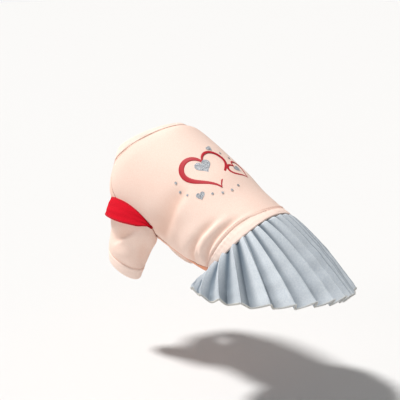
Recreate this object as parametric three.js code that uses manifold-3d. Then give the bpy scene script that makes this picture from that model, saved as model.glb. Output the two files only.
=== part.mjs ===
// A small dog's dress as it sits on a seated dog: a jersey top with two short sleeves, a belly panel,
// turned bands at the neck, cuffs and waist, a shoulder wing over each sleeve, and a pleated skirt.
// Millimetres. +X is the dog's left, -Y the way it faces, +Z up. The origin is on the inner face of
// the back panel, on its centre line halfway along.
import * as THREE from "three";
import { mergeVertices } from "three/addons/utils/BufferGeometryUtils.js";
import Module from "manifold-3d";

const wasm = await Module();
wasm.setup();

// Cloth and clearances
const jerseyThickness = 1.8;
const bandThickness = 2.6;
const bandStand = 0.8;
const wingThickness = 1.6;
const skirtThickness = 1.2;
const seamGap = 0.3;

// The top
const bodyLength = 192;
const waistWidth = 108;
const waistDepth = 120;
const chestWidth = 116;
const chestDepth = 158;
const neckWidth = 86;
const neckDepth = 88;
const bellySeamAngle = 130;
const waistSweep = 8;
const waistBandWidth = 10;
const neckBandWidth = 9;

// The sleeves and wings
const sleeveLength = 92;
const armholeLength = 0.4375 * bodyLength;
const armholeWidth = 42;
const cuffLength = 53;
const cuffWidth = 24;
const cuffBandWidth = 10;
const leftStride = 0;
const rightStride = 24;
const leftRise = 0;
const rightRise = 12;
const wingWidth = 24;
const wingLift = 7;

// The skirt
const skirtTuck = 5;
const skirtFall = 3;
const skirtEndAngle = 138;
const hemReach = 102;
const hemDrop = 41;
const hemSwing = 10;
const rightHemReach = 82;
const rightHemDrop = 47;
const pleatCount = 24;
const pleatDepth = 9;
const pleatDepthAtWaist = 2.6;
const pleatOverlap = 0.12;

// Rings of the top from the waist edge to the neck edge. at, forward and up are shares of the body's
// length; pitch is how far the ring's axis points above level, in degrees.
const bodySections = [
  { at: 0, forward: 0, up: 0, pitch: 45, width: waistWidth, depth: waistDepth },
  { at: 0.22, forward: 0.156, up: 0.045, pitch: 36, width: mix(waistWidth, chestWidth, 0.4),
    depth: mix(waistDepth, chestDepth, 0.16) },
  { at: 0.45, forward: 0.349, up: 0.134, pitch: 28, width: mix(waistWidth, chestWidth, 0.8),
    depth: mix(waistDepth, chestDepth, 0.42) },
  { at: 0.65, forward: 0.585, up: 0.229, pitch: 31, width: chestWidth, depth: mix(waistDepth, chestDepth, 0.69) },
  { at: 0.84, forward: 0.866, up: 0.344, pitch: 43, width: mix(neckWidth, chestWidth, 0.95), depth: chestDepth },
  { at: 1, forward: 0.901, up: 0.536, pitch: 60, width: neckWidth, depth: neckDepth },
];

// Folds of the top. at and width are shares of the body's length, angle and reach are degrees round
// from the middle of the back, slant is how far the fold climbs over its reach, depth is a share of
// the fold depth, below nought for a valley.
const foldDepth = 3.2;
const bodyFolds = [
  { at: 0.5, angle: 84, reach: 52, slant: 0.1, width: 0.05, depth: -1.2 },
  { at: 0.4, angle: 88, reach: 50, slant: 0.1, width: 0.06, depth: 0.8 },
  { at: 0.27, angle: 104, reach: 38, slant: 0.05, width: 0.035, depth: -0.8 },
  { at: 0.19, angle: 106, reach: 40, slant: 0.03, width: 0.035, depth: 0.7 },
  { at: 0.12, angle: 106, reach: 42, slant: 0.02, width: 0.025, depth: -0.7 },
];

// Rings of a sleeve from inside the shoulder to the cuff's edge. out, back and down are shares of the
// sleeve's length from the shoulder; lean and splay tip the ring's back and inner side down, in degrees.
const shoulder = { out: 37, forward: 0.844 * bodyLength, up: 0.156 * bodyLength };
const sleeveSections = [
  { at: -0.3, out: -0.16, back: 0, down: -0.3, lean: 0, splay: 0, length: armholeLength * 0.85,
    width: armholeWidth * 0.8 },
  { at: 0, out: -0.04, back: 0, down: 0, lean: 0, splay: 0, length: armholeLength, width: armholeWidth * 0.95 },
  { at: 0.38, out: 0.01, back: 0, down: 0.38, lean: 5, splay: 0, width: armholeWidth,
    length: mix(cuffLength, armholeLength, 0.92) },
  { at: 0.59, out: 0.01, back: -0.09, down: 0.59, lean: 14, splay: -3, width: mix(cuffWidth, armholeWidth, 0.75),
    length: mix(cuffLength, armholeLength, 0.52) },
  { at: 0.75, out: 0.02, back: -0.15, down: 0.75, lean: 18, splay: -6, width: mix(cuffWidth, armholeWidth, 0.5),
    length: mix(cuffLength, armholeLength, 0.35) },
  { at: 1, out: 0.04, back: -0.2, down: 0.99, lean: 24, splay: -10, width: cuffWidth, length: cuffLength },
];

// A wing's width round the armhole. at is degrees from straight out, backwards above nought.
const wingSections = [
  { at: -118, width: 0.1 },
  { at: -95, width: 0.62 },
  { at: -65, width: 0.95 },
  { at: -30, width: 1 },
  { at: 5, width: 0.92 },
  { at: 32, width: 0.64 },
  { at: 50, width: 0.28 },
  { at: 66, width: 0.03 },
];

// The skirt's hem. at is degrees round from the middle of the back; out, back and bulge are shares of
// the hem's reach, down is a share of the hem's drop, all from the middle of the waist. On the right the
// skirt hangs closer and lower, and its back is swung a little to the right.
const hemSections = [
  { at: -10, out: -0.105, back: 1.25, down: 1.03, bulge: 0.025 },
  { at: 0, out: 0, back: 1.255, down: 1.03, bulge: 0.02 },
  { at: 10, out: 0.105, back: 1.25, down: 1.03, bulge: 0.025 },
  { at: 20, out: 0.21, back: 1.22, down: 1.025, bulge: 0.035 },
  { at: 30, out: 0.335, back: 1.155, down: 1.02, bulge: 0.05 },
  { at: 41, out: 0.53, back: 1.07, down: 1, bulge: 0.065 },
  { at: 52, out: 0.7, back: 0.91, down: 0.99, bulge: 0.08 },
  { at: 62, out: 0.83, back: 0.75, down: 0.98, bulge: 0.09 },
  { at: 75, out: 0.91, back: 0.53, down: 0.975, bulge: 0.11 },
  { at: 95, out: 0.97, back: 0.34, down: 0.95, bulge: 0.12 },
  { at: 107, out: 0.965, back: 0.19, down: 0.93, bulge: 0.12 },
  { at: 126, out: 0.87, back: -0.03, down: 0.88, bulge: 0.1 },
  { at: 139, out: 0.73, back: -0.17, down: 0.86, bulge: 0.03 },
];

// How finely the surfaces are faceted
const bodyRows = 23;
const backColumns = 32;
const bellyColumns = 10;
const bandRows = 1;
const sleeveRows = 6;
const sleeveColumns = 28;
const wingRows = 3;
const wingColumns = 16;
const skirtRows = 6;

function mix(a, b, share) {
  return a + (b - a) * share;
}

function radians(degrees) {
  return (degrees * Math.PI) / 180;
}

// A table's column at any place between its rows, on a smooth curve through them.
function between(rows, column, at) {
  const last = rows.length - 1;
  let i = 0;
  while (i < last - 1 && at > rows[i + 1].at) i += 1;
  const slope = (k) => {
    const before = rows[Math.max(k - 1, 0)];
    const after = rows[Math.min(k + 1, last)];
    return (after[column] - before[column]) / (after.at - before.at);
  };
  const span = rows[i + 1].at - rows[i].at;
  const t = (at - rows[i].at) / span;
  return (
    rows[i][column] * (1 + 2 * t) * (1 - t) ** 2 +
    slope(i) * span * t * (1 - t) ** 2 +
    rows[i + 1][column] * t * t * (3 - 2 * t) +
    slope(i + 1) * span * t * t * (t - 1)
  );
}

function bodyRing(at) {
  const pitch = radians(between(bodySections, "pitch", at));
  return {
    centre: new THREE.Vector3(
      0,
      -bodyLength * between(bodySections, "forward", at),
      bodyLength * between(bodySections, "up", at),
    ),
    rise: new THREE.Vector3(0, Math.sin(pitch), Math.cos(pitch)),
    axis: new THREE.Vector3(0, -Math.cos(pitch), Math.sin(pitch)),
    halfWidth: between(bodySections, "width", at) / 2,
    halfDepth: between(bodySections, "depth", at) / 2,
  };
}

// How far the folds push the cloth outwards at a place on the top.
function foldHeight(at, degrees) {
  let height = 0;
  for (const fold of bodyFolds) {
    const round = (Math.abs(degrees) - fold.angle) / fold.reach;
    if (Math.abs(round) >= 1) continue;
    const off = (at - fold.at + fold.slant * round) / fold.width;
    height += fold.depth * Math.exp(-off * off) * Math.cos((round * Math.PI) / 2) ** 2;
  }
  return height * foldDepth;
}

// A point on the top's cloth, at degrees round from the middle of the back, left above nought.
function bodyPoint(at, degrees, outward = 0) {
  const ring = bodyRing(at);
  const side = Math.sin(radians(degrees));
  const rise = Math.cos(radians(degrees));
  const normal = new THREE.Vector3(side / ring.halfWidth, 0, 0)
    .addScaledVector(ring.rise, rise / ring.halfDepth)
    .normalize();
  const turned = degrees > 180 ? degrees - 360 : degrees;
  const sweep = waistSweep * Math.max(1 - at / 0.35, 0) ** 2 * (rise < 0 ? 1 : side * side);
  return ring.centre
    .clone()
    .addScaledVector(ring.axis, -sweep)
    .addScaledVector(ring.rise, rise * ring.halfDepth)
    .add(new THREE.Vector3(side * ring.halfWidth, 0, 0))
    .addScaledVector(normal, outward + foldHeight(at, turned));
}

// How far a point lies outside the top's cloth.
function clearOfBody(point) {
  let low = 0;
  let high = 1;
  for (let i = 0; i < 30; i += 1) {
    const middle = (low + high) / 2;
    const ring = bodyRing(middle);
    if (point.clone().sub(ring.centre).dot(ring.axis) > 0) low = middle;
    else high = middle;
  }
  const at = (low + high) / 2;
  const ring = bodyRing(at);
  const from = point.clone().sub(ring.centre);
  const x = from.x / ring.halfWidth;
  const h = from.dot(ring.rise) / ring.halfDepth;
  const size = Math.hypot(x, h);
  const slope = Math.hypot(x / ring.halfWidth, h / ring.halfDepth) / size;
  const degrees = (Math.atan2(x, h) * 180) / Math.PI;
  return (size - 1) / slope - foldHeight(at, degrees);
}

// A point on a sleeve's cloth; round is 0 straight out and 90 at the back, side is 1 for the left.
function sleevePoint(side, stride, at, round, outward) {
  const lean = radians(between(sleeveSections, "lean", at));
  const splay = radians(between(sleeveSections, "splay", at));
  const axis = new THREE.Vector3(Math.tan(splay), -Math.tan(lean), -1).normalize();
  const backward = new THREE.Vector3(0, 1, 0).addScaledVector(axis, -axis.y).normalize();
  const outside = new THREE.Vector3().crossVectors(backward, axis);
  if (outside.x < 0) outside.negate();
  const halfWidth = between(sleeveSections, "width", at) / 2 + outward;
  const halfLength = between(sleeveSections, "length", at) / 2 + outward;
  const point = new THREE.Vector3(
    shoulder.out + sleeveLength * between(sleeveSections, "out", at),
    -shoulder.forward + sleeveLength * between(sleeveSections, "back", at) + stride.back * Math.max(at, 0) ** 2,
    shoulder.up - sleeveLength * between(sleeveSections, "down", at) + stride.rise * Math.max(at, 0) ** 2,
  )
    .addScaledVector(outside, Math.cos(radians(round)) * halfWidth)
    .addScaledVector(backward, Math.sin(radians(round)) * halfLength);
  point.x *= side;
  return point;
}

// Where down the sleeve its cloth leaves the top.
function armholeAt(side, stride, round, outward, clearance) {
  let low = -0.3;
  let high = 0.75;
  for (let i = 0; i < 30; i += 1) {
    const middle = (low + high) / 2;
    if (clearOfBody(sleevePoint(side, stride, middle, round, outward)) < clearance) low = middle;
    else high = middle;
  }
  return (low + high) / 2;
}

// A point on a wing's middle surface; across is 0 at the armhole and 1 at its free edge.
function wingPoint(side, stride, across, round, outward) {
  const stand = seamGap * 2 + wingThickness / 2;
  const start = armholeAt(side, stride, round, stand, seamGap);
  const width = wingWidth * between(wingSections, "width", round);
  const lift = wingLift * across ** 1.4 * between(wingSections, "width", round);
  return sleevePoint(side, stride, start + (across * width) / sleeveLength, round, stand + lift + outward);
}

// A point on the skirt before pleating: down is 0 at the waist edge, 1 at the hem, and below 0 in the
// tuck behind the waist band. Its first few millimetres below the band go straight on.
function skirtPoint(down, degrees) {
  const inset = bandStand - bandThickness - seamGap * 3 - skirtThickness - pleatDepthAtWaist / 2;
  const fall = skirtFall + Math.min(down, 0) * (skirtTuck + skirtFall);
  const top = bodyPoint(-fall / bodyLength, degrees, inset);
  if (down <= 0) return top;
  const at = Math.abs(degrees);
  const side = Math.sign(degrees);
  const turn = Math.min(Math.max(-degrees / 45, 0), 1);
  const right = turn * turn * (3 - 2 * turn);
  const hem = new THREE.Vector3(
    side * mix(hemReach, rightHemReach, right) * between(hemSections, "out", at) -
      hemSwing * Math.max(Math.cos(radians(degrees)), 0),
    hemReach * between(hemSections, "back", at),
    -mix(hemDrop, rightHemDrop, right) * between(hemSections, "down", at),
  );
  const normal = bodyPoint(0, degrees, 1).sub(bodyPoint(0, degrees, 0));
  const across = new THREE.Vector3(hem.x, hem.y, hemDrop * 0.4).normalize();
  const bend = top
    .clone()
    .lerp(hem, 0.45)
    .addScaledVector(normal.add(across).normalize(), hemReach * between(hemSections, "bulge", at));
  return top
    .multiplyScalar((1 - down) ** 2)
    .addScaledVector(bend, 2 * down * (1 - down))
    .addScaledVector(hem, down * down);
}

// Triangles for a sheet of cloth with a front, a back and closed edges.
function clothSolid(front, back, closedRound) {
  const rows = front.length;
  const columns = front[0].length;
  const positions = [...front.flat(), ...back.flat()].flatMap((p) => [p.x, p.y, p.z]);
  const at = (layer, row, column) => layer * rows * columns + row * columns + (column % columns);
  const triangles = [];
  const quad = (a, b, c, d) => triangles.push(a, b, c, a, c, d);
  const last = closedRound ? columns : columns - 1;
  for (let r = 0; r < rows - 1; r += 1) {
    for (let c = 0; c < last; c += 1) {
      quad(at(0, r, c), at(0, r, c + 1), at(0, r + 1, c + 1), at(0, r + 1, c));
      quad(at(1, r, c), at(1, r + 1, c), at(1, r + 1, c + 1), at(1, r, c + 1));
    }
  }
  for (let c = 0; c < last; c += 1) {
    quad(at(0, 0, c), at(1, 0, c), at(1, 0, c + 1), at(0, 0, c + 1));
    quad(at(0, rows - 1, c), at(0, rows - 1, c + 1), at(1, rows - 1, c + 1), at(1, rows - 1, c));
  }
  if (!closedRound) {
    for (let r = 0; r < rows - 1; r += 1) {
      quad(at(0, r, 0), at(0, r + 1, 0), at(1, r + 1, 0), at(1, r, 0));
      quad(at(0, r, last), at(1, r, last), at(1, r + 1, last), at(0, r + 1, last));
    }
  }
  return closedSolid(positions, triangles);
}

// A filled solid inside a tube of rings.
function filledSolid(rings) {
  const columns = rings[0].length;
  const positions = rings.flat().flatMap((p) => [p.x, p.y, p.z]);
  const triangles = [];
  for (let r = 0; r < rings.length - 1; r += 1) {
    for (let c = 0; c < columns; c += 1) {
      const a = r * columns + c;
      const b = r * columns + ((c + 1) % columns);
      triangles.push(a, b, b + columns, a, b + columns, a + columns);
    }
  }
  for (const row of [0, rings.length - 1]) {
    const middle = new THREE.Vector3();
    for (const p of rings[row]) middle.addScaledVector(p, 1 / columns);
    const hub = positions.length / 3;
    positions.push(middle.x, middle.y, middle.z);
    for (let c = 0; c < columns; c += 1) {
      const a = row * columns + c;
      const b = row * columns + ((c + 1) % columns);
      if (row === 0) triangles.push(b, a, hub);
      else triangles.push(a, b, hub);
    }
  }
  return closedSolid(positions, triangles);
}

function closedSolid(positions, triangles) {
  let volume = 0;
  const corner = (i) => new THREE.Vector3().fromArray(positions, i * 3);
  for (let i = 0; i < triangles.length; i += 3) {
    volume += corner(triangles[i]).dot(corner(triangles[i + 1]).cross(corner(triangles[i + 2])));
  }
  if (volume < 0) triangles.reverse();
  return new wasm.Manifold(
    new wasm.Mesh({
      numProp: 3,
      vertProperties: new Float32Array(positions),
      triVerts: new Uint32Array(triangles),
    }),
  );
}

function largestPiece(solid) {
  return solid.decompose().reduce((best, piece) => (piece.volume() > best.volume() ? piece : best));
}

function grid(rows, columns, point) {
  return rows.map((row) => columns.map((column) => point(row, column)));
}

function steps(from, to, count) {
  return Array.from({ length: count + 1 }, (_, i) => mix(from, to, i / count));
}

// The top's two panels, and the solid that clears everything inside them
const waistEdge = waistBandWidth / bodyLength;
const neckEdge = 1 - neckBandWidth / bodyLength;
const edgeGap = seamGap / bodyLength;
const seamAngle = ((seamGap / 2) * 360) / (Math.PI * chestWidth);
const panelRows = steps(waistEdge + edgeGap, neckEdge - edgeGap, bodyRows);
const backAngles = steps(-bellySeamAngle + seamAngle, bellySeamAngle - seamAngle, backColumns);
const bellyAngles = steps(bellySeamAngle + seamAngle, 360 - bellySeamAngle - seamAngle, bellyColumns);
const roundAngles = [...backAngles, ...bellyAngles];
const clearRows = [-0.04, 0, ...panelRows, 1, 1.04];

function bodySheet(rows, angles, outer, inner, closedRound) {
  return clothSolid(
    grid(rows, angles, (at, degrees) => bodyPoint(at, degrees, outer)),
    grid(rows, angles, (at, degrees) => bodyPoint(at, degrees, inner)),
    closedRound,
  );
}

const clearance = filledSolid(grid(clearRows, roundAngles, (at, degrees) => bodyPoint(at, degrees, seamGap)));
let backPanel = bodySheet(panelRows, backAngles, 0, -jerseyThickness, false);
let bellyPanel = bodySheet(panelRows, bellyAngles, 0, -jerseyThickness, false);
const bandInside = bandStand - bandThickness;
const waistBand = bodySheet(steps(0, waistEdge, bandRows), roundAngles, bandStand, bandInside, true);
const neckBand = bodySheet(steps(neckEdge, 1, bandRows), roundAngles, bandStand, bandInside, true);

// The sleeves, their cuffs and the wings
const cuffEdge = 1 - cuffBandWidth / sleeveLength;
const roundSleeve = steps(0, 360, sleeveColumns).slice(0, -1);
const sleeveSteps = steps(-0.3, cuffEdge - seamGap / sleeveLength, sleeveRows);
const cuffSteps = steps(cuffEdge, 1, bandRows);

function armPieces(side, stride) {
  const sheet = (rows, outer, inner) =>
    clothSolid(
      grid(rows, roundSleeve, (at, round) => sleevePoint(side, stride, at, round, outer)),
      grid(rows, roundSleeve, (at, round) => sleevePoint(side, stride, at, round, inner)),
      true,
    );
  const opening = filledSolid(
    grid(sleeveSteps, roundSleeve, (at, round) => sleevePoint(side, stride, at, round, -jerseyThickness)),
  );
  backPanel = backPanel.subtract(opening);
  bellyPanel = bellyPanel.subtract(opening);
  const rounds = steps(wingSections[0].at, wingSections.at(-1).at, wingColumns);
  const wing = clothSolid(
    grid(steps(0, 1, wingRows), rounds, (s, round) => wingPoint(side, stride, s, round, wingThickness / 2)),
    grid(steps(0, 1, wingRows), rounds, (s, round) => wingPoint(side, stride, s, round, -wingThickness / 2)),
    false,
  );
  return {
    sleeve: largestPiece(sheet(sleeveSteps, 0, -jerseyThickness).subtract(clearance)),
    cuff: sheet(cuffSteps, bandStand, bandInside),
    wing: largestPiece(wing.subtract(clearance)),
  };
}

const left = armPieces(1, { back: leftStride, rise: leftRise });
const right = armPieces(-1, { back: rightStride, rise: rightRise });

// The skirt's knife pleats: each face runs from under one fold out to its own, towards the right.
const pleatAngle = (2 * skirtEndAngle) / pleatCount;
const skirtColumns = [];
for (let i = 0; i < pleatCount; i += 1) {
  const start = skirtEndAngle - i * pleatAngle;
  const overlap = i === pleatCount - 1 ? 0 : pleatOverlap;
  skirtColumns.push({ degrees: start, depth: -0.5 });
  skirtColumns.push({ degrees: start - 0.5 * pleatAngle, depth: 0.12 });
  skirtColumns.push({ degrees: start - (1 + overlap) * pleatAngle, depth: 0.5 });
}
const skirtSteps = [-1, ...steps(0, 1, skirtRows)];
const skirtMiddle = grid(skirtSteps, skirtColumns, (down, { degrees, depth }) => {
  const point = skirtPoint(down, degrees);
  const round = skirtPoint(down, degrees + 1).sub(skirtPoint(down, degrees - 1));
  const fall = skirtPoint(down + 0.05, degrees).sub(skirtPoint(down, degrees));
  const share = Math.max(down, 0);
  const outward = depth * mix(pleatDepthAtWaist, pleatDepth, share);
  return point.addScaledVector(round.cross(fall).normalize(), outward);
});

// The middle surface moved half a thickness along its own slope, mitred at the folds.
function skirtFace(half) {
  const last = skirtMiddle.length - 1;
  return skirtMiddle.map((row, r) =>
    row.map((point, c) => {
      const down = skirtMiddle[Math.min(r + 1, last)][c].clone().sub(skirtMiddle[Math.max(r - 1, 0)][c]);
      const normals = [];
      if (c > 0) normals.push(point.clone().sub(row[c - 1]).cross(down).normalize());
      if (c < row.length - 1) normals.push(row[c + 1].clone().sub(point).cross(down).normalize());
      const sum = normals.reduce((a, b) => a.clone().add(b)).normalize();
      const mitre = 1 / Math.max(sum.dot(normals[0]), 0.5);
      return point.clone().addScaledVector(sum, half * mitre);
    }),
  );
}

const skirt = clothSolid(skirtFace(skirtThickness / 2), skirtFace(-skirtThickness / 2), false);

function geometryOf(solid) {
  const mesh = solid.getMesh();
  const geometry = new THREE.BufferGeometry();
  geometry.setAttribute("position", new THREE.Float32BufferAttribute(Array.from(mesh.vertProperties), 3));
  geometry.setIndex(Array.from(mesh.triVerts));
  return mergeVertices(geometry, 1e-4);
}

const dress = new THREE.Group();
const seat = bodyPoint(0.5, 0, -jerseyThickness);

function addPiece(name, solid, color, roughness) {
  const geometry = geometryOf(solid);
  geometry.translate(-seat.x, -seat.y, -seat.z);
  geometry.computeVertexNormals();
  const mesh = new THREE.Mesh(geometry, new THREE.MeshStandardMaterial({ color, roughness }));
  mesh.name = name;
  dress.add(mesh);
}

addPiece("back_panel", backPanel, 0xf2d3c3, 0.9);
addPiece("belly_panel", bellyPanel, 0xefcdbb, 0.9);
addPiece("neck_band", neckBand, 0xf0cfbe, 0.9);
addPiece("waist_band", waistBand, 0xf0cfbe, 0.9);
addPiece("sleeve_left", left.sleeve, 0xf2d3c3, 0.9);
addPiece("sleeve_right", right.sleeve, 0xf2d3c3, 0.9);
addPiece("cuff_left", left.cuff, 0xf0cfbe, 0.9);
addPiece("cuff_right", right.cuff, 0xf0cfbe, 0.9);
addPiece("shoulder_wing_left", left.wing, 0xd8182f, 0.85);
addPiece("shoulder_wing_right", right.wing, 0xd8182f, 0.85);
addPiece("skirt", skirt, 0xb4c0cb, 0.85);

export default dress;
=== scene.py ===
import math
import bmesh
import bpy
import numpy as np
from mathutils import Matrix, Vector


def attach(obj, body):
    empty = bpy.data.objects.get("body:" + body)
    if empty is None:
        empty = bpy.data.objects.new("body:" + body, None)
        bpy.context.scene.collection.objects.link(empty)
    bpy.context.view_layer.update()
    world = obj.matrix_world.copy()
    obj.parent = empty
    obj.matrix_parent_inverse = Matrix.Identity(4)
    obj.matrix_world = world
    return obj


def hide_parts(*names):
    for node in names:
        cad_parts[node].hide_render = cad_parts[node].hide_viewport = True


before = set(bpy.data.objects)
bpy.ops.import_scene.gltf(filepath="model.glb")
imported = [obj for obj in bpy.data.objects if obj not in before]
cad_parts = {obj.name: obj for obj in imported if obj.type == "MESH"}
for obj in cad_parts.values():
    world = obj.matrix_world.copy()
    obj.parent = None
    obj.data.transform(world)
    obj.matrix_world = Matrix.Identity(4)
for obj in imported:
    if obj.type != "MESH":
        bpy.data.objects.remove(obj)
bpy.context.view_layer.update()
rng = np.random.default_rng(7)


def table(columns, *rows):  # each row of numbers becomes a dictionary with the columns' names
    return [dict(zip(columns.split(), row)) for row in rows]


# The dress is worked out in millimetres from the middle of the waist, then moved to the row's frame.
top = {
    "length": 192, "jersey": 1.6, "solidWall": 1.8,
    # the waist edge is swept towards the tail at the sides and the belly, up to this share of the length
    "sweep": 8, "sweepEnd": 0.35,
    "neckBand": 9, "bandCloth": 2.4, "bandThickness": 2.6, "bandStand": 0.8,
    "rightFolds": 0.7,  # the creases of the right side are shallower
    "rings": table(
        "at forward up pitch width depth",
        (0, 0, 0, 45, 108, 120), (0.22, 0.156, 0.045, 36, 111.2, 126.08), (0.45, 0.349, 0.134, 28, 114.4, 135.96),
        (0.65, 0.585, 0.229, 31, 116, 146.22), (0.84, 0.866, 0.344, 43, 114.5, 158),
        (1, 0.901, 0.536, 60, 86, 88),
    ),
    # a crease runs round the body through these places; front and rear are how soft its two sides are
    "creases": [
        {"degrees": [63, 74, 85, 97, 112, 126], "at": [0.496, 0.498, 0.498, 0.498, 0.512, 0.544],
         "depth": -2.8, "front": 8.5, "rear": 4.2, "spread": 0.6},
        {"degrees": [62, 74, 87, 100, 114, 130], "at": [0.482, 0.48, 0.474, 0.466, 0.452, 0.442],
         "depth": 0.35, "front": 6, "rear": 9, "spread": 0.6},
        {"degrees": [84, 96, 112, 125], "at": [0.414, 0.418, 0.418, 0.398],
         "depth": -1.0, "front": 8, "rear": 8, "spread": 0},
        {"degrees": [83, 100, 118, 128], "at": [0.27, 0.292, 0.31, 0.33],
         "depth": 0.9, "front": 9, "rear": 7, "spread": 0},
        {"degrees": [67, 83, 98, 112, 129], "at": [0.218, 0.23, 0.238, 0.238, 0.218],
         "depth": -2.4, "front": 5, "rear": 2.6, "spread": 0.2},
        {"degrees": [55, 70, 85, 95, 106, 115], "at": [0.178, 0.186, 0.19, 0.178, 0.152, 0.11],
         "depth": 2.0, "front": 3.4, "rear": 4.4, "spread": 0},
        {"degrees": [50, 62, 76, 90, 103, 115], "at": [0.126, 0.128, 0.124, 0.114, 0.1, 0.08],
         "depth": -2.2, "front": 4.2, "rear": 2.2, "spread": 0},
        {"degrees": [30, 46, 62, 77, 91, 104], "at": [0.094, 0.104, 0.106, 0.102, 0.09, 0.076],
         "depth": 1.0, "front": 2.4, "rear": 2.4, "spread": 0},
    ],
    # where the waist band ends round the body, and where the side seam runs along it
    "bandEdge": {"degrees": [0, 18, 35, 52, 75, 94, 112, 180],
                 "at": [0.052, 0.058, 0.076, 0.084, 0.079, 0.062, 0.052, 0.052]},
    "sideSeam": {"at": [0, 0.06, 0.2, 0.35, 0.55, 0.7, 0.82, 0.9, 1],
                 "degrees": [124, 125, 136, 140, 140, 131, 118, 112, 110]},
}
sleeve = {
    "length": 92, "out": 37, "forward": 162.048, "up": 29.952, "band": 14, "swell": 0.3,
    "rows": 80, "cuffRows": 14, "columns": 180, "mmPerDegree": 0.52, "cuffGap": 0.003,
    "clearance": 0.25, "topDitch": (0.3, 1.5), "cuffDitch": (0.5, 1.3), "cuffSwell": 0.18,
    # how strong the painted shade in the creases is, and how deep a crease takes all of it
    "shade": 0.4, "shadeDepth": 3,
    "stride": {1: {"back": 0, "rise": 0}, -1: {"back": 16, "rise": 7}},
    "rings": table(
        "at out back down lean splay long wide",
        (-0.3, -0.16, 0, -0.3, 0, 0, 71.4, 33.6), (0, -0.04, 0, 0, 0, 0, 84, 39.9),
        (0.38, 0.01, 0, 0.38, 5, 0, 81.52, 42), (0.59, 0.01, -0.09, 0.59, 14, -3, 69.12, 37.5),
        (0.75, 0.02, -0.15, 0.75, 18, -6, 63.85, 33), (1, 0.04, -0.2, 0.99, 24, -10, 53, 24),
    ),
    # a crease's middle, its heading over the sleeve in degrees, and how far it runs, in mm
    "creases": table(
        "at turn heading reach above below depth",
        (0.47, 6, -41, 15, 8, 1.8, -3.0), (0.52, 2, -41, 15, 1.6, 4, 0.9), (0.6, 64, 14, 14, 7, 6, -1.8),
        (0.7, 14, 90, 20, 6, 7, 2.2), (0.4, 110, 60, 18, 4, 3, -1.4), (0.5, -60, 80, 16, 5, 4, -1.2),
    ),
}
wing = {
    "width": 24, "lift": 7, "curl": 1.4, "puff": 0.9, "thickness": 1.6, "stand": 1.4, "clearance": 0.35, "swell": 0.8,
    "rows": 26, "columns": 120,
    "rings": table(
        "at width",
        (-118, 0.1), (-95, 0.62), (-65, 0.95), (-30, 1), (5, 0.92), (32, 0.64), (50, 0.28), (66, 0.03),
    ),
}
skirt = {
    "tuck": 6, "fall": 1.2, "end": 138, "thickness": 0.9, "depth": 15, "waistDepth": 1.3, "shoulder": 4.6, "swing": 10,
    "rows": 80, "inset": 0.9, "swell": 0.5, "lean": 2.4, "opening": 0.55, "gape": 0.15, "endFade": 0.65,
    "reach": {"left": 102, "right": 82}, "drop": {"left": 41, "right": 47},
    "rings": table(
        "at out back down bulge",
        (-10, -0.105, 1.25, 1.03, 0.025), (0, 0, 1.255, 1.03, 0.02), (10, 0.105, 1.25, 1.03, 0.025),
        (20, 0.21, 1.22, 1.025, 0.035), (30, 0.335, 1.155, 1.02, 0.05), (41, 0.53, 1.07, 1, 0.065),
        (52, 0.7, 0.91, 0.99, 0.08), (62, 0.83, 0.75, 0.98, 0.09), (75, 0.91, 0.53, 0.975, 0.11),
        (95, 0.97, 0.34, 0.95, 0.12), (107, 0.965, 0.19, 0.94, 0.13), (126, 0.87, -0.03, 0.93, 0.14),
        (139, 0.72, -0.17, 0.92, 0.14),
    ),
    # where each pleat starts at the waist and at the hem, and how far its fold laps over the next one
    "pleats": table(
        "waist hem over",
        (138, 138, -0.25), (126, 129, -0.25), (112, 118, -0.28), (98, 100, -0.25), (80, 78, -0.2),
        (64, 63.3, -0.15), (51.6, 50.6, -0.13), (42, 39.6, -0.12), (31.8, 27.5, -0.1), (20.6, 12.5, -0.05),
        (8.5, -2.5, 0.06),
    ),
    "rightPleats": 14,
    # the shares of a pleat's face, and of the cloth that turns back under it, that have a column of points
    "face": (0.0, 0.03, 0.09, 0.2, 0.34, 0.48, 0.62, 0.75, 0.86, 0.93, 0.975, 1.0), "turn": (0.25, 0.5, 0.75),
}


def between(rows, column, at):  # a smooth curve through a table's column
    xs = np.array([row["at"] for row in rows], float)
    ys = np.array([row[column] for row in rows], float)
    slopes = np.empty_like(ys)
    slopes[1:-1] = (ys[2:] - ys[:-2]) / (xs[2:] - xs[:-2])
    slopes[0] = (ys[1] - ys[0]) / (xs[1] - xs[0])
    slopes[-1] = (ys[-1] - ys[-2]) / (xs[-1] - xs[-2])
    at = np.asarray(at, float)
    i = np.clip(np.searchsorted(xs, at) - 1, 0, len(xs) - 2)
    span = xs[i + 1] - xs[i]
    t = (at - xs[i]) / span
    return (ys[i] * (1 + 2 * t) * (1 - t) ** 2 + slopes[i] * span * t * (1 - t) ** 2
            + ys[i + 1] * t * t * (3 - 2 * t) + slopes[i + 1] * span * t * t * (t - 1))


def ease(x, low, high):
    t = np.clip((x - low) / (high - low), 0, 1)
    return t * t * (3 - 2 * t)


def unit(v):
    return v / np.maximum(np.linalg.norm(v, axis=-1, keepdims=True), 1e-9)


def stack(x, y, z):
    return np.stack(np.broadcast_arrays(x, y, z), axis=-1).astype(float)


def ringAt(at):
    pitch = np.radians(between(top["rings"], "pitch", at))
    forward, up = between(top["rings"], "forward", at), between(top["rings"], "up", at)
    centre = stack(0, -top["length"] * forward, top["length"] * up)
    return (centre, stack(0, np.sin(pitch), np.cos(pitch)), stack(0, -np.cos(pitch), np.sin(pitch)),
            between(top["rings"], "width", at) / 2, between(top["rings"], "depth", at) / 2)


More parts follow.
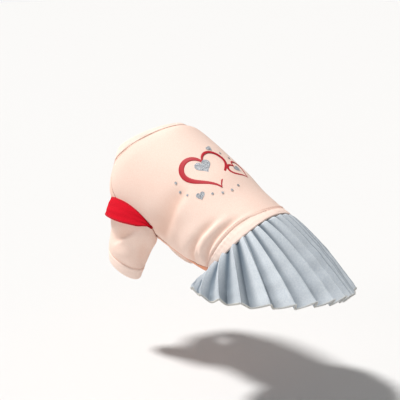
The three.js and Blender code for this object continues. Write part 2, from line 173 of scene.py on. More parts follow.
def foldHeight(at, degrees):
    turn = np.abs(degrees)
    height = np.zeros(np.broadcast(at, degrees).shape)
    for crease in top["creases"]:
        first, last = crease["degrees"][0], crease["degrees"][-1]
        off = (at - np.interp(turn, crease["degrees"], crease["at"])) * top["length"]
        wide = np.where(off > 0, crease["front"], crease["rear"]) * (1 + crease["spread"] * ease(turn, first, last))
        fade = ease(turn, first - 16, first + 10) * (1 - ease(turn, last - 8, last + 16))  # it starts and ends softly
        height += crease["depth"] * np.exp(-(off / wide) ** 2 / 2) * fade
    return height * np.where(degrees < 0, top["rightFolds"], 1.0)


def signed(degrees):  # from -180 to 180
    return np.where(degrees > 180, degrees - 360, degrees)


def bandEdge(degrees):
    turn, edge = np.abs(signed(degrees)), top["bandEdge"]
    soft = [np.interp(turn + shift, edge["degrees"], edge["at"]) for shift in (-6, -3, 0, 3, 6)]
    return sum(soft) / len(soft)


def sideSeam(at):
    return np.interp(at, top["sideSeam"]["at"], top["sideSeam"]["degrees"])


def topPoint(at, degrees, outward=0.0):  # degrees round from the middle of the back, left above nought
    at, degrees = np.broadcast_arrays(np.asarray(at, float), np.asarray(degrees, float))
    centre, rise, axis, halfWidth, halfDepth = ringAt(at)
    side, up = np.sin(np.radians(degrees)), np.cos(np.radians(degrees))
    ex = np.array([1.0, 0, 0])
    normal = unit(ex * (side / halfWidth)[..., None] + rise * (up / halfDepth)[..., None])
    sweep = top["sweep"] * np.maximum(1 - at / top["sweepEnd"], 0) ** 2 * np.where(up < 0, 1, side * side)
    push = outward + foldHeight(at, signed(degrees))
    return (centre - axis * sweep[..., None] + rise * (up * halfDepth)[..., None] + ex * (side * halfWidth)[..., None]
            + normal * push[..., None])


def clearOfTop(point):  # how far a point lies outside the top's cloth, and where on it
    low, high = np.zeros(point.shape[:-1]), np.ones(point.shape[:-1])
    for _ in range(26):
        middle = (low + high) / 2
        centre, rise, axis, halfWidth, halfDepth = ringAt(middle)
        ahead = np.sum((point - centre) * axis, axis=-1) > 0
        low, high = np.where(ahead, middle, low), np.where(ahead, high, middle)
    at = (low + high) / 2
    centre, rise, axis, halfWidth, halfDepth = ringAt(at)
    x = point[..., 0] / halfWidth
    h = np.sum((point - centre) * rise, axis=-1) / halfDepth
    size = np.hypot(x, h)
    slope = np.hypot(x / halfWidth, h / halfDepth) / np.maximum(size, 1e-6)
    degrees = np.degrees(np.arctan2(x, h))
    return (size - 1) / slope - foldHeight(at, degrees), at, degrees


def sleevePoint(side, at, turn, outward=0.0):  # turn is 0 straight out and 90 at the back
    at, turn, outward = np.broadcast_arrays(np.asarray(at, float), np.asarray(turn, float), np.asarray(outward, float))
    rows = sleeve["rings"]
    lean, splay = np.radians(between(rows, "lean", at)), np.radians(between(rows, "splay", at))
    axis = unit(stack(np.tan(splay), -np.tan(lean), -1.0))
    backward = unit(stack(0, 1, 0) - axis * axis[..., 1:2])
    outside = np.cross(backward, axis)
    outside = outside * np.where(outside[..., 0:1] < 0, -1, 1)
    long, wide = between(rows, "long", at) / 2 + outward, between(rows, "wide", at) / 2 + outward
    stride, share = sleeve["stride"][side], np.maximum(at, 0) ** 2
    centre = stack(sleeve["out"] + sleeve["length"] * between(rows, "out", at),
                   -sleeve["forward"] + sleeve["length"] * between(rows, "back", at) + stride["back"] * share,
                   sleeve["up"] - sleeve["length"] * between(rows, "down", at) + stride["rise"] * share)
    point = (centre + outside * (np.cos(np.radians(turn)) * wide)[..., None]
             + backward * (np.sin(np.radians(turn)) * long)[..., None])
    return point * np.array([side, 1.0, 1.0])


def armholeAt(side, turn, outward, clearance):  # where down the sleeve its cloth leaves the top
    turn = np.asarray(turn, float)
    low, high = np.full(turn.shape, -0.3), np.full(turn.shape, 0.75)
    for _ in range(24):
        middle = (low + high) / 2
        inside = clearOfTop(sleevePoint(side, middle, turn, outward))[0] < clearance
        low, high = np.where(inside, middle, low), np.where(inside, high, middle)
    return (low + high) / 2


seat = topPoint(0.5, 0.0, -top["solidWall"])  # the row's origin, on the solid back panel's inner face


def toFrame(points):
    return (points - seat) / 1000


# Meshes
def ditch(distance, depth, width):  # how far the cloth turns in near a seam
    return depth * np.exp(-(distance / width) ** 2)


def waves(shape, seed, count, span, size):  # slow random swells over a grid
    maker = np.random.default_rng(seed)
    u, v = np.meshgrid(np.linspace(0, 1, shape[1]), np.linspace(0, 1, shape[0]))
    total = np.zeros(shape)
    for _ in range(count):
        fu, fv = maker.uniform(-1, 1, 2) * span
        total += np.sin(2 * np.pi * (fu * u + fv * v) + maker.uniform(0, 6.28))
    return total * size / math.sqrt(count)


def gridNormals(points, closedRound):
    if closedRound:
        across = np.roll(points, -1, axis=1) - np.roll(points, 1, axis=1)
    else:
        across = np.gradient(points, axis=1)
    return unit(np.cross(across, np.gradient(points, axis=0)))


def addItem(name, data):
    item = bpy.data.objects.new(name, data)
    bpy.context.scene.collection.objects.link(item)
    return item


def finishMesh(name, points, faces, material, uvs=None, crease=40):
    mesh = bpy.data.meshes.new(name)
    mesh.from_pydata(points.tolist(), [], faces.tolist() if isinstance(faces, np.ndarray) else faces)
    mesh.update()
    if uvs is not None:
        layer = mesh.uv_layers.new(name="cloth")
        index = np.empty(len(mesh.loops), dtype=np.int32)
        mesh.loops.foreach_get("vertex_index", index)
        layer.data.foreach_set("uv", uvs[index].ravel())
    mesh.shade_smooth()
    mesh.set_sharp_from_angle(angle=math.radians(crease))
    mesh.materials.append(material)
    return addItem(name, mesh)


def clothPiece(name, outer, thickness, material, closedRound=False, flip=1, crease=50, paintedShadeAndGlow=None):
    # a cloth of real thickness, with soft edges, from the points of its outer face
    normals = gridNormals(outer, closedRound) * flip
    inner = outer - normals * thickness
    rows, columns = outer.shape[:2]
    count = rows * columns
    points = [outer.reshape(-1, 3), inner.reshape(-1, 3)]
    grid = np.arange(count).reshape(rows, columns)
    if closedRound:
        grid = np.concatenate([grid, grid[:, :1]], axis=1)
    quads = []

    def strip(a, b):  # a and b are two rows of vertex numbers, side by side
        quads.append(np.stack([a[:-1], a[1:], b[1:], b[:-1]], axis=1))

    for r in range(rows - 1):
        strip(grid[r], grid[r + 1])
        strip(grid[r + 1] + count, grid[r] + count)
    extra = 2 * count

    def rim(edge, beyond, turn):  # a rounded edge through a middle row pushed out of the cloth
        nonlocal extra
        middle = (outer.reshape(-1, 3)[edge] + inner.reshape(-1, 3)[edge]) / 2
        out = unit(outer.reshape(-1, 3)[edge] - outer.reshape(-1, 3)[beyond])
        points.append(middle + out * thickness * 0.45)
        row = np.arange(extra, extra + len(edge))
        extra += len(edge)
        strip(*((edge + count, row) if turn > 0 else (row, edge + count)))
        strip(*((row, edge) if turn > 0 else (edge, row)))

    rim(grid[0], grid[1], 1)
    rim(grid[-1], grid[-2], -1)
    if not closedRound:
        rim(grid[:, 0], grid[:, 1], -1)
        rim(grid[:, -1], grid[:, -2], 1)
    allPoints = np.concatenate(points)
    step = np.linalg.norm(np.diff(outer, axis=1), axis=-1).mean()
    fall = np.linalg.norm(np.diff(outer, axis=0), axis=-1).mean()
    v, u = np.meshgrid(np.arange(rows) * fall, np.arange(columns) * step, indexing="ij")
    flat = np.stack([u, v], axis=-1).reshape(-1, 2) / 1000
    uvs = np.zeros((len(allPoints), 2))
    uvs[:count], uvs[count:2 * count] = flat, flat
    piece = finishMesh(name, toFrame(allPoints), np.concatenate(quads), material, uvs, crease)
    if paintedShadeAndGlow is not None:
        # painted shade: the inner face takes a quarter of the tint all over; on the belly this is painted glow
        shadeAndGlowTint = np.zeros(len(allPoints), dtype=np.float32)
        shadeAndGlowTint[:count], shadeAndGlowTint[count:2 * count] = paintedShadeAndGlow.ravel(), 0.25
        piece.data.attributes.new("paintedShadeAndGlow", "FLOAT", "POINT").data.foreach_set("value", shadeAndGlowTint)
    tidyMesh(piece)
    return piece


def tubeFaces(rows, columns):  # the quads of a grid whose rows are closed rings
    grid = np.arange(rows * columns).reshape(rows, columns)
    wrapped = np.concatenate([grid, grid[:, :1]], axis=1)
    corners = wrapped[:-1, :-1], wrapped[:-1, 1:], wrapped[1:, 1:], wrapped[1:, :-1]
    return np.stack(corners, axis=-1).reshape(-1, 4).tolist()


def tidyMesh(piece):
    work = bmesh.new()
    work.from_mesh(piece.data)
    bmesh.ops.remove_doubles(work, verts=work.verts, dist=2e-6)
    bmesh.ops.holes_fill(work, edges=[e for e in work.edges if e.is_boundary], sides=6)
    bmesh.ops.recalc_face_normals(work, faces=work.faces)
    work.to_mesh(piece.data)
    work.free()


# Shader building
class Value:
    def __init__(self, tree, socket):
        self.tree, self.socket = tree, socket

    def maths(self, operation, *terms):
        node = self.tree.nodes.new("ShaderNodeMath")
        node.operation = operation
        for i, term in enumerate(terms):
            if isinstance(term, Value):
                self.tree.links.new(term.socket, node.inputs[i])
            else:
                node.inputs[i].default_value = term
        return Value(self.tree, node.outputs[0])

    def __add__(self, other):
        return self.maths("ADD", self, other)

    def __mul__(self, other):
        return self.maths("MULTIPLY", self, other)

    def __sub__(self, other):
        return self.maths("SUBTRACT", self, other)

    def sine(self):
        return self.maths("SINE", self)

    def size(self):
        return self.maths("ABSOLUTE", self)

    def within(self, low, high):
        return self.maths("MINIMUM", self.maths("MAXIMUM", self, low), high)


class Finish:
    def __init__(self, name):
        self.material = bpy.data.materials.new(name)
        self.material.use_nodes = True
        self.tree = self.material.node_tree
        self.shader = self.tree.nodes["Principled BSDF"]

    def node(self, kind, settings=None, **inputs):
        node = self.tree.nodes.new(kind)
        for key, value in (settings or {}).items():
            setattr(node, key, value)
        for key, value in inputs.items():
            self.put(node, key, value)
        return node

    def put(self, node, key, value):  # a socket goes by its name, or by i and its number
        numbered = key[0] == "i" and key[1:].isdigit()
        socket = node.inputs[int(key[1:]) if numbered else key.replace("_", " ")]
        if isinstance(value, Value):
            self.tree.links.new(value.socket, socket)
        elif isinstance(value, bpy.types.NodeSocket):
            self.tree.links.new(value, socket)
        else:
            socket.default_value = value

    def value(self, socket):
        return Value(self.tree, socket)

    def noise(self, scale, detail=2, rough=0.5):
        node = self.node("ShaderNodeTexNoise", Vector=self.place(), Scale=scale, Detail=detail, Roughness=rough)
        return self.value(node.outputs[0])

    def fleck(self, scale, detail, rough, contrast):
        return ((self.noise(scale, detail, rough) - 0.5) * contrast + 0.5).within(0, 1)

    def place(self):
        return self.node("ShaderNodeTexCoord").outputs["Object"]

    def paintedShadeAndGlow(self):  # painted shade by how far into a fold the cloth lies, and painted glow on the belly, kept on the mesh
        return self.value(self.node("ShaderNodeAttribute", {"attribute_name": "paintedShadeAndGlow"}).outputs["Fac"])

    def flat(self):
        axes = self.node("ShaderNodeSeparateXYZ", Vector=self.node("ShaderNodeTexCoord").outputs["UV"])
        return self.value(axes.outputs[0]), self.value(axes.outputs[1])

    def blend(self, factor, first, second):  # a colour is a code or a socket
        first, second = (rgba(colour) if isinstance(colour, str) else colour for colour in (first, second))
        node = self.node("ShaderNodeMix", {"data_type": "RGBA"}, i0=factor, i6=first, i7=second)
        return node.outputs[2]

    def bump(self, height, distance, strength):
        return self.node("ShaderNodeBump", Height=height, Distance=distance, Strength=strength).outputs[0]

    def done(self, colour, rough, normal=None, sheen=0.0, sheenTint="#FFFFFF", specular=0.3, metallic=None):
        self.put(self.shader, "Base_Color", colour)
        self.put(self.shader, "Roughness", rough)
        if normal is not None:
            self.put(self.shader, "Normal", normal)
        if metallic is not None:
            self.put(self.shader, "Metallic", metallic)
        self.shader.inputs["Sheen Weight"].default_value = sheen
        self.shader.inputs["Sheen Roughness"].default_value = 0.5
        self.shader.inputs["Sheen Tint"].default_value = rgba(sheenTint)
        self.shader.inputs["Specular IOR Level"].default_value = specular
        return self.material


def rgba(code):  # a colour code as linear red, green, blue and alpha
    parts = [int(code[i:i + 2], 16) / 255 for i in (1, 3, 5)]
    return (*(c / 12.92 if c <= 0.04045 else ((c + 0.055) / 1.055) ** 2.4 for c in parts), 1)


def knitFinish(name, light, dark, shadeAndGlowTint=None, wale=0.0011):  # columns of loops, a wale's width apart
    f = Finish(name)
    u, v = f.flat()
    tone = (f.noise(14, 3) * 0.55 + f.fleck(750, 3, 0.6, 2.2) * 0.45).within(0, 1)
    colour = f.blend(tone, dark, light)
    if shadeAndGlowTint:
        colour = f.blend(f.paintedShadeAndGlow(), colour, shadeAndGlowTint)  # painted shade, warmer in the creases; painted glow on the belly
    wales = (u * (2 * math.pi / wale)).sine()
    courses = (v * (2 * math.pi / (wale * 0.8)) + wales.size() * 1.6).sine()
    normal = f.bump(wales * 0.5 + courses * 0.3 + f.noise(1500) * 0.8, 0.00012, 0.7)
    return f.done(colour, f.noise(300) * 0.1 + 0.82, normal, sheen=0.08, sheenTint=light, specular=0.15)


def weaveFinish(name, light, dark, shadeAndGlowTint, yarn=0.0008):
    f = Finish(name)
    u, v = f.flat()
    tone = (f.fleck(520, 4, 0.65, 2.6) * 0.6 + f.noise(11) * 0.4).within(0, 1)
    colour = f.blend(f.paintedShadeAndGlow(), f.blend(tone, dark, light), shadeAndGlowTint)  # painted shade, darker in a pleat
    twill = ((u + v) * (2 * math.pi / yarn)).sine()
    normal = f.bump(twill * 0.6 + f.noise(1800) * 0.9, 0.0001, 0.6)
    return f.done(colour, f.noise(200) * 0.12 + 0.74, normal, sheen=0.08, sheenTint=light, specular=0.2)


def threadFinish(name, light, dark):
    f = Finish(name)
    tone = f.noise(1200)
    normal = f.bump(f.noise(3000, 1), 0.0001, 0.6)
    return f.done(f.blend(tone, dark, light), tone * 0.1 + 0.7, normal, sheen=0.2)


def filmFinish(name, light, dark):
    f = Finish(name)
    tone = f.noise(500, 3)
    normal = f.bump(f.noise(1400), 0.0001, 0.5)
    return f.done(f.blend(tone, dark, light), tone * 0.25 + 0.45, normal, specular=0.4)


def glitterFinish(name, light, dark):
    f = Finish(name)
    flake = f.node("ShaderNodeTexVoronoi", Vector=f.place(), Scale=1500.0)
    spread = f.node("ShaderNodeSeparateColor", Color=flake.outputs["Color"])
    glint = f.value(spread.outputs[0])
    tilt = f.bump(glint, 0.0005, 0.9)
    rough = f.value(spread.outputs[1]) * 0.3 + 0.5
    return f.done(f.blend(glint, dark, light), rough, tilt, metallic=glint * 0.2 + 0.1)


# the third colour of the jersey is painted shade for its creases
jerseyLook = knitFinish("jersey", "#FBE7DB", "#F1CDBD", "#D9A58C")
# painted glow: the belly's tones are warmer than the back's, and its third colour is the warm glow towards the waist
bellyLook = knitFinish("bellyJersey", "#FBE0D2", "#F3CBB9", "#E58A5C")
bandLook = knitFinish("bandJersey", "#FEEBE0", "#F8DACC", wale=0.0013)
wingLook = knitFinish("wingJersey", "#DF0C29", "#B60419")
# the third colour of the suiting is painted shade for its pleats
skirtLook = weaveFinish("suiting", "#E1E6EA", "#C1CBD5", "#5A6977")
pinkThread = threadFinish("pinkThread", "#F4CFC0", "#D9A896")
greyThread = threadFinish("greyThread", "#E4E1DA", "#BDBBB6")
darkRedThread = threadFinish("darkRedThread", "#8E0618", "#5C0310")
seamShadeThread = threadFinish("seamShadeThread", "#B0705A", "#7A4532")
redFilm = filmFinish("redPrint", "#C8182C", "#A00F20")
silverFilm = glitterFinish("silverPrint", "#D9DDE2", "#6A7078")
print("materials ready")

# The top's panels
panel = {
    "rows": 150, "columns": 220, "bellyColumns": 60, "swell": 0.35,
    "waistGuess": 0.05, "bandGap": 0.0012, "seamGap": 0.1,  # shares of the length, and degrees
    # how deep the cloth turns in at its seams, and over what width; deeper at the waist on the flanks
    "seamDitch": (0.9, 2.2), "neckDitch": (0.7, 1.6), "waistDitch": (0.3, 1.8), "flankDitch": 0.6,
    # how strong the painted glow under the belly and the painted shade in the creases are, and how deep a crease takes
    # all the shade
    "glow": 0.5, "waistGlow": 0.3, "shade": 0.5, "shadeDepth": 3.2,
}
neckEdge = 1 - top["neckBand"] / top["length"]


def panelGrid(belly, columns, rows, seed):
    high, first = neckEdge - panel["bandGap"], panel["waistGuess"]
    s, across = np.linspace(0, 1, rows)[:, None], np.linspace(-1, 1, columns)[None, :]
    at = np.broadcast_to(first + (high - first) * s, (rows, columns))
    for _ in range(3):  # the waist edge and the seam lines depend on each other a little
        seam = sideSeam(at)
        degrees = 180 + across * (180 - seam - panel["seamGap"]) if belly else across * (seam - panel["seamGap"])
        low = bandEdge(degrees[:1]) + panel["bandGap"]
        at = low + (high - low) * s
    reach = (1 - np.abs(across)) * (180 - seam if belly else seam)
    fromWaist, fromNeck = (at - low) * top["length"], (high - at) * top["length"]
    waistDeep, waistWide = panel["waistDitch"]
    waistDeep = waistDeep + panel["flankDitch"] * ease(np.abs(degrees), 25, 60)
    swell = waves((rows, columns), seed, 9, 5, panel["swell"]) - ditch(reach, *panel["seamDitch"])
    swell = swell - ditch(fromWaist, waistDeep, waistWide) - ditch(fromNeck, *panel["neckDitch"])
    if belly:  # painted glow: the cloth under the dog is tinted warm, as light shining through it would tint it, most at the waist
        paintedShadeAndGlow = (1 - ease(at, 0.3, 0.8)) * (panel["glow"] + panel["waistGlow"] * (1 - ease(at, 0.1, 0.35)))
    else:
        # painted shade, darker in the creases of the back
        paintedShadeAndGlow = np.clip(-foldHeight(at, degrees) / panel["shadeDepth"], 0, 1) * panel["shade"]
    return topPoint(at, degrees, swell), paintedShadeAndGlow


def sleeveTool(side):  # the space inside a sleeve, to cut its armhole
    turns = np.linspace(0, 360, 72, endpoint=False)
    steps = np.linspace(-0.3, 0.8, 24)
    points = sleevePoint(side, steps[:, None], turns[None, :], -2.0)
    rows, columns = points.shape[:2]
    count = rows * columns
    faces = tubeFaces(rows, columns) + [list(range(columns))[::-1], list(range(count - columns, count))]
    tool = finishMesh("armholeTool", toFrame(points.reshape(-1, 3)), faces, jerseyLook)
    tidyMesh(tool)
    return tool


def cutArmholes(piece):
    for side in (1, -1):
        tool = sleeveTool(side)
        cut = piece.modifiers.new("armhole", "BOOLEAN")
        cut.operation, cut.solver, cut.object = "DIFFERENCE", "EXACT", tool
        graph = bpy.context.evaluated_depsgraph_get()
        mesh = bpy.data.meshes.new_from_object(piece.evaluated_get(graph))
        piece.modifiers.clear()
        piece.data = mesh
        bpy.data.objects.remove(tool)
    piece.data.set_sharp_from_angle(angle=math.radians(50))


backGrid, backPaintedShade = panelGrid(False, panel["columns"], panel["rows"], 3)
bellyGrid, bellyPaintedGlow = panelGrid(True, panel["bellyColumns"], panel["rows"], 4)
backPanel = clothPiece("backPanel", backGrid, top["jersey"], jerseyLook, flip=-1, paintedShadeAndGlow=backPaintedShade)
bellyPanel = clothPiece("bellyPanel", bellyGrid, top["jersey"], bellyLook, flip=-1, paintedShadeAndGlow=bellyPaintedGlow)
cutArmholes(backPanel)
cutArmholes(bellyPanel)
print("top panels ready")


# Bands at the neck and the waist: doubled cloth with a rolled edge
band = {"rows": 16, "columns": 300, "gap": 0.0006, "swell": 0.12, "puckers": {"low": 0.22, "high": 0.15}}


def rolled(s):  # the height of a band across its width
    return np.sqrt(np.clip(1 - ((s - 0.5) / 0.5) ** 6, 0, 1))


def topBand(name, low, high, edge, seed):
    shape = band["rows"], band["columns"]
    degrees = np.linspace(0, 360, band["columns"], endpoint=False)[None, :]
    s = np.linspace(0, 1, band["rows"])[:, None]
    roll = rolled(s)
    swell = top["bandStand"] * (0.2 + roll * 0.9) + waves(shape, seed, 6, 9, band["swell"])
    if edge == "low":  # the band melts into the back, and stands clear down the sides
        gentle = 1 - ease(np.abs(signed(degrees)), 45, 80)
        soft = np.maximum(1 - 0.8 * ease(s, 0.45, 1.0), roll * 0.2)
        swell = swell + top["bandStand"] * 0.9 * (soft - roll) * gentle * ease(s, 0.5, 0.6)
    sewn = 1 - s if edge == "high" else s
    turn = np.radians(degrees)
    swell = swell + band["puckers"][edge] * np.sin(turn * 47 + 3 * np.sin(turn * 5)) * sewn
    at = np.broadcast_to(low + (high - low) * s, shape)
    return clothPiece(name, topPoint(at, degrees, swell), top["bandCloth"], bandLook, closedRound=True, flip=-1)


waistEdge = bandEdge(np.linspace(0, 360, band["columns"], endpoint=False))[None, :]
waistBand = topBand("waistBand", 0.0, waistEdge - band["gap"], "low", 5)
neckBand = topBand("neckBand", neckEdge + band["gap"], 1.0, "high", 6)


# Sleeves and cuffs
def sleeveFolds(at, turn):
    height = 0
    for crease in sleeve["creases"]:
        down, around = (at - crease["at"]) * sleeve["length"], (turn - crease["turn"]) * sleeve["mmPerDegree"]
        c, s = math.cos(math.radians(crease["heading"])), math.sin(math.radians(crease["heading"]))
        along, off = down * c + around * s, around * c - down * s
        wide = np.where(off > 0, crease["below"], crease["above"])
        height = height + crease["depth"] * np.exp(-(off / wide) ** 2 / 2 - (along / crease["reach"]) ** 2)
    return height


def makeSleeve(side, label):
    turns = np.linspace(-180, 180, sleeve["columns"], endpoint=False)[None, :]
    start = armholeAt(side, turns, 0.0, sleeve["clearance"])
    cuffEdge = 1 - sleeve["band"] / sleeve["length"]
    length = cuffEdge - sleeve["cuffGap"] - start
    s = np.linspace(0, 1, sleeve["rows"])[:, None]
    at = start + length * s
    folds = sleeveFolds(at, turns)
    fromEnd, fromTop = (1 - s) * length * sleeve["length"], s * length * sleeve["length"]
    swell = waves(at.shape, 11 + side, 8, 3, sleeve["swell"]) * ease(s, 0, 0.15) + folds
    swell = swell - ditch(fromEnd, *sleeve["cuffDitch"]) - ditch(fromTop, *sleeve["topDitch"])
    # painted shade, darker in the sleeve's creases
    paintedShadeAndGlow = np.clip(-folds / sleeve["shadeDepth"], 0, 1) * sleeve["shade"]
    body = clothPiece("sleeve" + label, sleevePoint(side, at, turns, swell), top["jersey"], jerseyLook,
                      closedRound=True, flip=-side, paintedShadeAndGlow=paintedShadeAndGlow)
    steps = np.linspace(cuffEdge, 1, sleeve["cuffRows"])[:, None]
    t = (steps - steps[0]) / (steps[-1] - steps[0])
    shape = sleeve["cuffRows"], sleeve["columns"]
    swell = waves(shape, 21 + side, 6, 4, sleeve["cuffSwell"]) * ease(t, 0, 0.5)
    swell = top["bandStand"] * (0.1 + rolled(t) * 0.8) + swell
    cuff = clothPiece("cuff" + label, sleevePoint(side, steps, turns, swell), top["bandCloth"], bandLook,
                      closedRound=True, flip=-side)
    return body, cuff


sleeveLeft, cuffLeft = makeSleeve(1, "Left")
sleeveRight, cuffRight = makeSleeve(-1, "Right")
print("sleeves ready")


# Shoulder wings: doubled jersey, folded at the free edge
def makeWing(side, label):
    turns = np.linspace(wing["rings"][0]["at"], wing["rings"][-1]["at"], wing["columns"])[None, :]
    share = between(wing["rings"], "width", turns)
    s = np.linspace(0, 1, wing["rows"])[:, None]
    swell = waves((wing["rows"], wing["columns"]), 31 + side, 7, 3, wing["swell"]) * ease(s, 0, 0.6)
    lift = wing["lift"] * s ** wing["curl"] * share + wing["puff"] * np.sin(s * np.pi)
    at = armholeAt(side, turns, wing["stand"], wing["clearance"]) + s * wing["width"] * share / sleeve["length"]
    points = sleevePoint(side, at, turns, wing["stand"] + lift + swell)
    return clothPiece("shoulderWing" + label, points, wing["thickness"], wingLook, flip=-side), points


wingLeft, leftWingGrid = makeWing(1, "Left")
wingRight, rightWingGrid = makeWing(-1, "Right")
print("wings ready")


# Skirt: knife pleats that open towards the hem
def skirtPoint(down, degrees):
    inset = top["bandStand"] - top["bandThickness"] - skirt["inset"] - skirt["thickness"] - skirt["waistDepth"] / 2
    down, degrees = np.broadcast_arrays(np.asarray(down, float), np.asarray(degrees, float))
    fall = skirt["fall"] + np.minimum(down, 0) * (skirt["tuck"] + skirt["fall"])
    start = topPoint(-fall / top["length"], degrees, inset)
    at, side = np.abs(degrees), np.where(degrees < 0, -1, 1)
    right = ease(-degrees / 45, 0, 1)
    leftReach, leftDrop = skirt["reach"]["left"], skirt["drop"]["left"]
    reach = leftReach + (skirt["reach"]["right"] - leftReach) * right
    drop = leftDrop + (skirt["drop"]["right"] - leftDrop) * right
    swing = skirt["swing"] * np.maximum(np.cos(np.radians(degrees)), 0)
    out, back, below, bulge = (between(skirt["rings"], column, at) for column in ("out", "back", "down", "bulge"))
    hem = stack(side * reach * out - swing, leftReach * back, -drop * below)
    normal = topPoint(0, degrees, 1.0) - topPoint(0, degrees, 0.0)
    across = unit(stack(hem[..., 0], hem[..., 1], leftDrop * 0.4))
    bulge = leftReach * bulge
    bend = start + (hem - start) * 0.45 + unit(normal + across) * bulge[..., None]
    t = np.maximum(down, 0)[..., None]
    return start * (1 - t) ** 2 + bend * 2 * t * (1 - t) + hem * t * t


def pleatStarts():
    rows = [(row["waist"], row["hem"], row["over"]) for row in skirt["pleats"]]
    waist, hem, over = rows[-1]
    for i in range(1, skirt["rightPleats"] + 1):
        t = i / skirt["rightPleats"]
        rows.append((waist + (-skirt["end"] - waist) * t, hem + (-skirt["end"] - hem) * t, over))
    return rows


def pleatColumns():  # each column's angle at the waist and at the hem, and how far out it stands
    rows, columns = pleatStarts(), []
    for i, (row, after) in enumerate(zip(rows[:-1], rows[1:])):
        angles, over = (row[0] - after[0], row[1] - after[1]), row[2]
        if i == len(rows) - 2:
            over = 0
        depth = rng.uniform(0.9, 1.12)
        soft = ease(-over, 0, 0.25)  # an open pleat has a rounder fold
        for t in skirt["face"]:
            height = -0.5 + 0.35 * t + 0.65 * t * t - (0.04 + 0.08 * soft) * ease(t, 0.93, 1.0)
            columns.append([row[k] - t * (1 + over) * angles[k] for k in (0, 1)] + [height * depth])
        for t in skirt["turn"]:  # the cloth turns back under the fold
            back = (1 + over) - over * t - (0.02 if over > 0 else 0)
            height = 0.46 - 0.08 * soft - (0.96 - 0.08 * soft) * ease(t, -0.15, 1.0)
            columns.append([row[k] - back * angles[k] for k in (0, 1)] + [height * depth])
    return np.array(columns)


def makeSkirt():
    columns, rows = pleatColumns(), skirt["rows"]
    waistAngle, hemAngle, stand = columns.T[:, None, :]
    down = np.concatenate([[-1.0, -0.5], np.linspace(0, 1, rows - 2)])[:, None]
    opened = np.maximum(down, 0)
    slip = 1 - (1 - opened) ** skirt["lean"]  # the pleats lean as they fall
    degrees = waistAngle * (1 - slip) + hemAngle * slip
    turn = skirtPoint(down, degrees + 1) - skirtPoint(down, degrees - 1)
    fall = skirtPoint(down + 0.05, degrees) - skirtPoint(down, degrees)
    flank = ease(degrees, 48, 66) * (1 - ease(degrees, 96, 116))  # the pleats gape most at the flank
    full = skirt["depth"] * (1 + skirt["gape"] * flank)
    depth = skirt["waistDepth"] + (full - skirt["waistDepth"]) * opened ** (skirt["opening"] - skirt["gape"] * flank)
    depth = depth * (1 - skirt["endFade"] * ease(degrees, 92, 124))
    swell = waves((rows, len(columns)), 41, 9, 6, skirt["swell"]) * ease(opened, 0.1, 0.8)
    shoulder = skirt["shoulder"] * ease(down, -0.03, 0.02) * (1 - 0.6 * ease(down, 0.1, 1))
    points = skirtPoint(down, degrees) + unit(np.cross(turn, fall)) * (stand * depth + swell + shoulder)[..., None]
    # painted shade: darker in the hollow under each fold, less as the pleats open, and over the left flank, where the
    # key light falls brightest
    paintedHollowShade = 1 - ease(stand, -0.5, -0.12 + 0.2 * flank)
    shadeAndGlowTint = np.clip(paintedHollowShade * (0.85 - 0.4 * opened) + 0.24 * ease(degrees, 46, 72), 0, 1)
    return clothPiece("pleatedSkirt", points, skirt["thickness"], skirtLook, flip=-1, crease=35, paintedShadeAndGlow=shadeAndGlowTint), points


pleatedSkirt, skirtPoints = makeSkirt()
print("skirt ready", len(pleatedSkirt.data.polygons))


# Stitches by geometry nodes: short threads along a line
def pathObject(name, points, closed):
    mesh = bpy.data.meshes.new(name)
    count = len(points)
    edges = [(i, i + 1) for i in range(count - 1)] + ([(count - 1, 0)] if closed else [])
    mesh.from_pydata(toFrame(points).tolist(), edges, [])
    return addItem(name, mesh)


def stitchTree(loops):
    tree = bpy.data.node_groups.new("stitches", "GeometryNodeTree")
    new, link = tree.nodes.new, tree.links.new
    sockets = {"Geometry": "Geometry", "Pitch": "Float", "Thread": "Float", "Reach": "Float", "Finish": "Material"}
    for label, kind in sockets.items():
        tree.interface.new_socket(label, in_out="INPUT", socket_type="NodeSocket" + kind)
    tree.interface.new_socket("Geometry", in_out="OUTPUT", socket_type="NodeSocketGeometry")
    given, out = new("NodeGroupInput"), new("NodeGroupOutput")

    curve, points = new("GeometryNodeMeshToCurve"), new("GeometryNodeCurveToPoints")
    points.mode = "LENGTH"
    link(given.outputs["Geometry"], curve.inputs[0])
    link(curve.outputs[0], points.inputs[0])
    link(given.outputs["Pitch"], points.inputs["Length"])

    ring, sweep = new("GeometryNodeCurvePrimitiveCircle"), new("GeometryNodeCurveToMesh")
    ring.inputs["Resolution"].default_value = 5
    sweep.inputs["Fill Caps"].default_value = True
    link(given.outputs["Thread"], ring.inputs["Radius"])
    link(ring.outputs[0], sweep.inputs[1])
    if loops:  # a loop of thread round the cloth's edge
        path = new("GeometryNodeCurvePrimitiveCircle")
        path.inputs["Resolution"].default_value = 8
        link(given.outputs["Reach"], path.inputs["Radius"])
    else:  # a straight thread along the line
        path, back = new("GeometryNodeCurvePrimitiveLine"), new("ShaderNodeMath")
        back.operation, back.inputs[1].default_value = "MULTIPLY", -1
        link(given.outputs["Reach"], back.inputs[0])
        for end, reach in (("Start", back.outputs[0]), ("End", given.outputs["Reach"])):
            place = new("ShaderNodeCombineXYZ")
            link(reach, place.inputs[2])
            link(place.outputs[0], path.inputs[end])
    link(path.outputs[0], sweep.inputs[0])

    copies = new("GeometryNodeInstanceOnPoints")
    link(points.outputs["Points"], copies.inputs["Points"])
    link(points.outputs["Rotation"], copies.inputs["Rotation"])
    link(sweep.outputs[0], copies.inputs["Instance"])
    real, coat = new("GeometryNodeRealizeInstances"), new("GeometryNodeSetMaterial")
    link(copies.outputs[0], real.inputs[0])
    link(real.outputs[0], coat.inputs[0])
    link(given.outputs["Finish"], coat.inputs["Material"])
    link(coat.outputs[0], out.inputs[0])
    return tree


